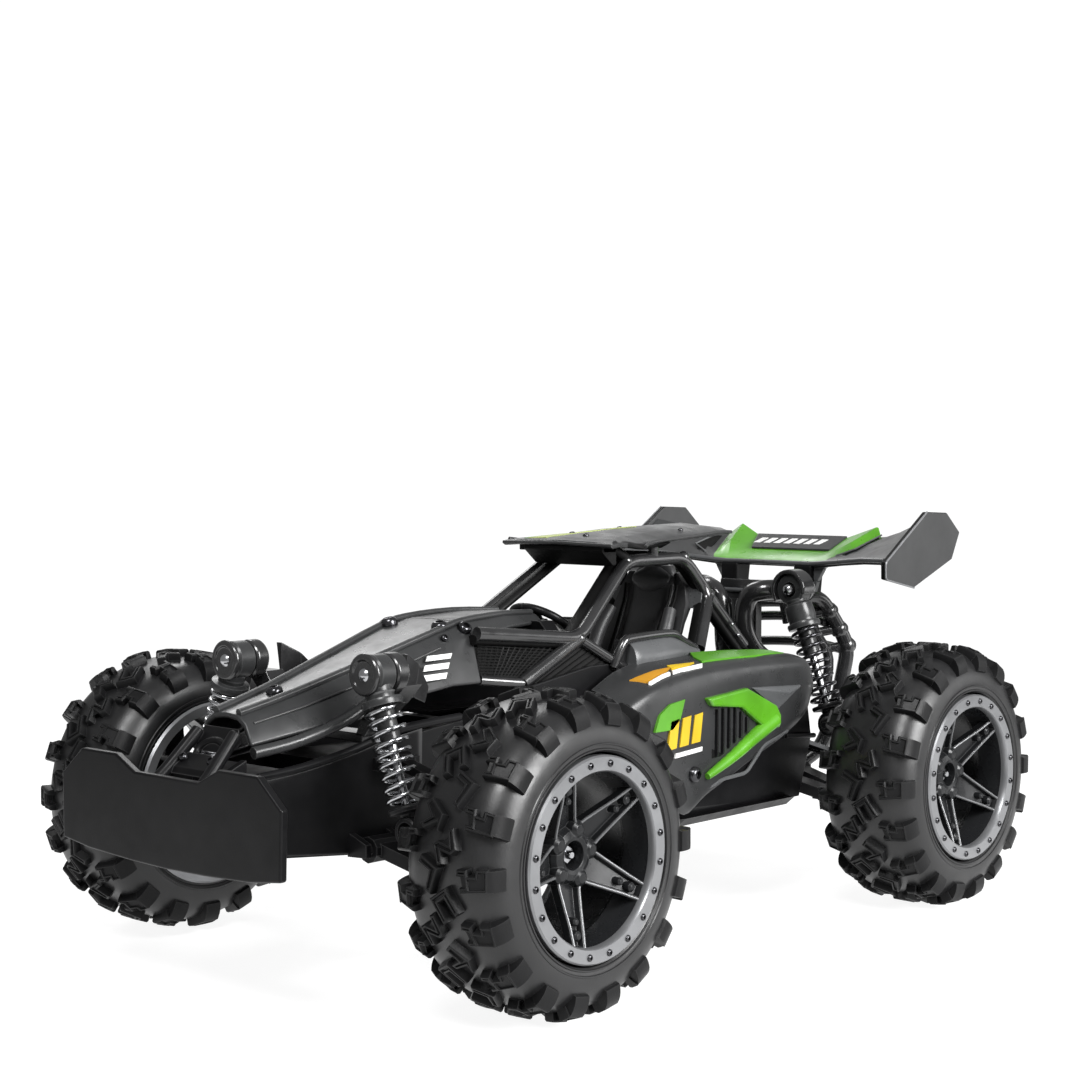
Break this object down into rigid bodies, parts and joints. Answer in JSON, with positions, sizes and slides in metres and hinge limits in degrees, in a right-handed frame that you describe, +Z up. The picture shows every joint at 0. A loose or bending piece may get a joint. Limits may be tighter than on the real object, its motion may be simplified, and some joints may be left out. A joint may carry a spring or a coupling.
{
  "type": "remote control car",
  "caption": "Off-road toy buggy with sprung suspension, steering front wheels, geared rear drive, roll cage, rear wing and knobbly tyres.",
  "frame": {"origin": "on the ground, at the centre of the bounding box's bottom face, under the tyres", "axes": "-Y is the front of the car, +X is the car's left side, +Z is up"},
  "size_m": [0.1674, 0.268, 0.1128],
  "materials": {
    "body_shell": "satin dark charcoal",
    "frame_black": "satin black",
    "tyre_rubber": "matte",
    "rim_gunmetal": "dark gunmetal with silver ring",
    "steel": "polished",
    "wing_green": "gloss",
    "board_green": "matte",
    "battery_wrap": "gloss film",
    "pinion_brass": "brass",
    "motor_can": "brushed",
    "seat_black": "matte"
  },
  "bodies": {
    "chassis": {"chassis_tub": "frame_black", "nose_cover": "body_shell", "side_pod_left": "body_shell", "side_pod_right": "body_shell", "front_bumper": "frame_black", "roll_cage": "frame_black", "roof_panel": "body_shell", "driver_seat": "seat_black", "cockpit_steering_wheel": "frame_black", "rear_wing": "wing_green", "rear_cage": "frame_black", "front_shock_tower": "frame_black", "rear_shock_tower": "frame_black", "gearbox_housing": "frame_black", "gearbox_cover": "frame_black", "drive_motor": "motor_can", "battery_pack": "battery_wrap", "battery_cover": "frame_black", "circuit_board": "board_green", "steering_servo": "frame_black"},
    "power_switch": {"power_switch": "frame_black"},
    "drive_gear": {"drive_gear": "frame_black"},
    "motor_pinion": {"motor_pinion": "pinion_brass"},
    "steering_link": {"steering_link": "frame_black"},
    "front_left_lower_arm": {"front_left_lower_arm": "frame_black"},
    "front_left_hub_carrier": {"front_left_hub_carrier": "frame_black"},
    "front_left_upper_arm": {"front_left_upper_arm": "frame_black"},
    "front_left_knuckle": {"front_left_knuckle": "frame_black"},
    "front_left_tie_rod": {"front_left_tie_rod": "steel"},
    "front_left_wheel": {"front_left_tyre": "tyre_rubber", "front_left_rim": "rim_gunmetal"},
    "front_left_shock_body": {"front_left_shock_body": "frame_black", "front_left_spring": "steel"},
    "front_left_shock_rod": {"front_left_shock_rod": "steel"},
    "front_right_lower_arm": {"front_right_lower_arm": "frame_black"},
    "front_right_hub_carrier": {"front_right_hub_carrier": "frame_black"},
    "front_right_upper_arm": {"front_right_upper_arm": "frame_black"},
    "front_right_knuckle": {"front_right_knuckle": "frame_black"},
    "front_right_tie_rod": {"front_right_tie_rod": "steel"},
    "front_right_wheel": {"front_right_tyre": "tyre_rubber", "front_right_rim": "rim_gunmetal"},
    "front_right_shock_body": {"front_right_shock_body": "frame_black", "front_right_spring": "steel"},
    "front_right_shock_rod": {"front_right_shock_rod": "steel"},
    "rear_left_lower_arm": {"rear_left_lower_arm": "frame_black"},
    "rear_left_hub_carrier": {"rear_left_hub_carrier": "frame_black"},
    "rear_left_half_shaft": {"rear_left_half_shaft": "steel"},
    "rear_left_wheel": {"rear_left_tyre": "tyre_rubber", "rear_left_rim": "rim_gunmetal"},
    "rear_left_shock_body": {"rear_left_shock_body": "frame_black", "rear_left_spring": "steel"},
    "rear_left_shock_rod": {"rear_left_shock_rod": "steel"},
    "rear_right_lower_arm": {"rear_right_lower_arm": "frame_black"},
    "rear_right_hub_carrier": {"rear_right_hub_carrier": "frame_black"},
    "rear_right_half_shaft": {"rear_right_half_shaft": "steel"},
    "rear_right_wheel": {"rear_right_tyre": "tyre_rubber", "rear_right_rim": "rim_gunmetal"},
    "rear_right_shock_body": {"rear_right_shock_body": "frame_black", "rear_right_spring": "steel"},
    "rear_right_shock_rod": {"rear_right_shock_rod": "steel"}
  },
  "joints": [
    {"name": "front_left_suspension", "type": "hinge", "parent": "chassis", "child": "front_left_lower_arm", "pos_m": [0.019, -0.077, 0.033], "axis": [0, -1, 0], "range_deg": [-10, 12], "stiffness_Nm_per_rad": 0.9, "springref_deg": -3.15},
    {"name": "front_left_carrier_pivot", "type": "hinge", "parent": "front_left_lower_arm", "child": "front_left_hub_carrier", "pos_m": [0.044, -0.077, 0.0275], "axis": [0, -1, 0], "range_deg": [-12, 10]},
    {"name": "front_left_upper_arm_pivot", "type": "hinge", "parent": "chassis", "child": "front_left_upper_arm", "pos_m": [0.019, -0.077, 0.053], "axis": [0, -1, 0], "range_deg": [-10, 12]},
    {"name": "front_left_steering", "type": "hinge", "parent": "front_left_hub_carrier", "child": "front_left_knuckle", "pos_m": [0.05, -0.077, 0.0378], "axis": [0, 0, 1], "range_deg": [-20, 20]},
    {"name": "front_left_tie_rod_pivot", "type": "hinge", "parent": "steering_link", "child": "front_left_tie_rod", "pos_m": [0.022, -0.0614, 0.0438], "axis": [0, -1, 0], "range_deg": [-9.43, 11.21]},
    {"name": "front_left_wheel_spin", "type": "hinge", "parent": "front_left_knuckle", "child": "front_left_wheel", "pos_m": [0.0685, -0.077, 0.0378], "axis": [1, 0, 0], "continuous": true},
    {"name": "front_left_shock_pivot", "type": "hinge", "parent": "chassis", "child": "front_left_shock_body", "pos_m": [0.0258, -0.0917, 0.0767], "axis": [0, -1, 0], "range_deg": [-0.414, 0.395]},
    {"name": "front_left_shock_travel", "type": "slide", "parent": "front_left_shock_body", "child": "front_left_shock_rod", "axis": [0.338, 0, -0.9412], "range_m": [-0.00448, 0.00375], "deforming": ["front_left_spring"]},
    {"name": "front_right_suspension", "type": "hinge", "parent": "chassis", "child": "front_right_lower_arm", "pos_m": [-0.019, -0.077, 0.033], "axis": [0, 1, 0], "range_deg": [-10, 12], "stiffness_Nm_per_rad": 0.9, "springref_deg": -3.15},
    {"name": "front_right_carrier_pivot", "type": "hinge", "parent": "front_right_lower_arm", "child": "front_right_hub_carrier", "pos_m": [-0.044, -0.077, 0.0275], "axis": [0, 1, 0], "range_deg": [-12, 10]},
    {"name": "front_right_upper_arm_pivot", "type": "hinge", "parent": "chassis", "child": "front_right_upper_arm", "pos_m": [-0.019, -0.077, 0.053], "axis": [0, 1, 0], "range_deg": [-10, 12]},
    {"name": "front_right_steering", "type": "hinge", "parent": "front_right_hub_carrier", "child": "front_right_knuckle", "pos_m": [-0.05, -0.077, 0.0378], "axis": [0, 0, 1], "range_deg": [-20, 20]},
    {"name": "front_right_tie_rod_pivot", "type": "hinge", "parent": "steering_link", "child": "front_right_tie_rod", "pos_m": [-0.022, -0.0614, 0.0438], "axis": [0, 1, 0], "range_deg": [-9.43, 11.21]},
    {"name": "front_right_wheel_spin", "type": "hinge", "parent": "front_right_knuckle", "child": "front_right_wheel", "pos_m": [-0.0685, -0.077, 0.0378], "axis": [1, 0, 0], "continuous": true},
    {"name": "front_right_shock_pivot", "type": "hinge", "parent": "chassis", "child": "front_right_shock_body", "pos_m": [-0.0258, -0.0917, 0.0767], "axis": [0, 1, 0], "range_deg": [-0.414, 0.395]},
    {"name": "front_right_shock_travel", "type": "slide", "parent": "front_right_shock_body", "child": "front_right_shock_rod", "axis": [-0.338, 0, -0.9412], "range_m": [-0.00448, 0.00375], "deforming": ["front_right_spring"]},
    {"name": "rear_left_suspension", "type": "hinge", "parent": "chassis", "child": "rear_left_lower_arm", "pos_m": [0.018, 0.088, 0.032], "axis": [0, -1, 0], "range_deg": [-10, 12], "stiffness_Nm_per_rad": 1.1, "springref_deg": -3.44},
    {"name": "rear_left_carrier_pivot", "type": "hinge", "parent": "rear_left_lower_arm", "child": "rear_left_hub_carrier", "pos_m": [0.044, 0.088, 0.027], "axis": [0, -1, 0], "range_deg": [-12, 10]},
    {"name": "rear_left_half_shaft_pivot", "type": "hinge", "parent": "chassis", "child": "rear_left_half_shaft", "pos_m": [0.021, 0.088, 0.0428], "axis": [0, -1, 0], "range_deg": [-10, 12]},
    {"name": "rear_left_wheel_spin", "type": "hinge", "parent": "rear_left_hub_carrier", "child": "rear_left_wheel", "pos_m": [0.0685, 0.088, 0.0378], "axis": [1, 0, 0], "continuous": true},
    {"name": "rear_left_shock_pivot", "type": "hinge", "parent": "chassis", "child": "rear_left_shock_body", "pos_m": [0.022, 0.087, 0.089], "axis": [0, -1, 0], "range_deg": [-3.49, 4.12]},
    {"name": "rear_left_shock_travel", "type": "slide", "parent": "rear_left_shock_body", "child": "rear_left_shock_rod", "axis": [0.3408, 0, -0.9401], "range_m": [-0.00481, 0.00402], "deforming": ["rear_left_spring"]},
    {"name": "rear_right_suspension", "type": "hinge", "parent": "chassis", "child": "rear_right_lower_arm", "pos_m": [-0.018, 0.088, 0.032], "axis": [0, 1, 0], "range_deg": [-10, 12], "stiffness_Nm_per_rad": 1.1, "springref_deg": -3.44},
    {"name": "rear_right_carrier_pivot", "type": "hinge", "parent": "rear_right_lower_arm", "child": "rear_right_hub_carrier", "pos_m": [-0.044, 0.088, 0.027], "axis": [0, 1, 0], "range_deg": [-12, 10]},
    {"name": "rear_right_half_shaft_pivot", "type": "hinge", "parent": "chassis", "child": "rear_right_half_shaft", "pos_m": [-0.021, 0.088, 0.0428], "axis": [0, 1, 0], "range_deg": [-10, 12]},
    {"name": "rear_right_wheel_spin", "type": "hinge", "parent": "rear_right_hub_carrier", "child": "rear_right_wheel", "pos_m": [-0.0685, 0.088, 0.0378], "axis": [1, 0, 0], "continuous": true},
    {"name": "rear_right_shock_pivot", "type": "hinge", "parent": "chassis", "child": "rear_right_shock_body", "pos_m": [-0.022, 0.087, 0.089], "axis": [0, 1, 0], "range_deg": [-3.49, 4.12]},
    {"name": "rear_right_shock_travel", "type": "slide", "parent": "rear_right_shock_body", "child": "rear_right_shock_rod", "axis": [-0.3408, 0, -0.9401], "range_m": [-0.00481, 0.00402], "deforming": ["rear_right_spring"]},
    {"name": "steering_slide", "type": "slide", "parent": "chassis", "child": "steering_link", "axis": [1, 0, 0], "range_m": [-0.00565, 0.00565]},
    {"name": "drive_gear_spin", "type": "hinge", "parent": "chassis", "child": "drive_gear", "pos_m": [0, 0.088, 0.0428], "axis": [1, 0, 0], "continuous": true},
    {"name": "motor_pinion_spin", "type": "hinge", "parent": "chassis", "child": "motor_pinion", "pos_m": [0, 0.07376, 0.04495], "axis": [1, 0, 0], "continuous": true},
    {"name": "power_switch_slide", "type": "slide", "parent": "chassis", "child": "power_switch", "axis": [0, 1, 0], "range_m": [0, 0.005]}
  ],
  "couplings": [
    {"joint": "front_left_carrier_pivot", "follows": "front_left_suspension", "ratio": -1},
    {"joint": "front_left_upper_arm_pivot", "follows": "front_left_suspension", "ratio": 1},
    {"joint": "front_left_tie_rod_pivot", "follows": "front_left_suspension", "ratio": 0.89286},
    {"joint": "front_left_shock_pivot", "follows": "front_left_suspension", "ratio": -0.009531},
    {"joint": "front_left_shock_travel", "follows": "front_left_suspension", "m_per_rad": -0.02117},
    {"joint": "front_right_carrier_pivot", "follows": "front_right_suspension", "ratio": -1},
    {"joint": "front_right_upper_arm_pivot", "follows": "front_right_suspension", "ratio": 1},
    {"joint": "front_right_steering", "follows": "front_left_steering", "ratio": 1},
    {"joint": "front_right_tie_rod_pivot", "follows": "front_right_suspension", "ratio": 0.89286},
    {"joint": "front_right_shock_pivot", "follows": "front_right_suspension", "ratio": -0.009531},
    {"joint": "front_right_shock_travel", "follows": "front_right_suspension", "m_per_rad": -0.02117},
    {"joint": "rear_left_carrier_pivot", "follows": "rear_left_suspension", "ratio": -1},
    {"joint": "rear_left_half_shaft_pivot", "follows": "rear_left_suspension", "ratio": 1},
    {"joint": "rear_left_shock_pivot", "follows": "rear_left_suspension", "ratio": 0.31874},
    {"joint": "rear_left_shock_travel", "follows": "rear_left_suspension", "m_per_rad": -0.02274},
    {"joint": "rear_right_carrier_pivot", "follows": "rear_right_suspension", "ratio": -1},
    {"joint": "rear_right_half_shaft_pivot", "follows": "rear_right_suspension", "ratio": 1},
    {"joint": "rear_right_wheel_spin", "follows": "rear_left_wheel_spin", "ratio": 1},
    {"joint": "rear_right_shock_pivot", "follows": "rear_right_suspension", "ratio": 0.31874},
    {"joint": "rear_right_shock_travel", "follows": "rear_right_suspension", "m_per_rad": -0.02274},
    {"joint": "steering_slide", "follows": "front_left_steering", "m_per_rad": -0.016},
    {"joint": "drive_gear_spin", "follows": "rear_left_wheel_spin", "ratio": 1},
    {"joint": "motor_pinion_spin", "follows": "rear_left_wheel_spin", "ratio": -3}
  ]
}
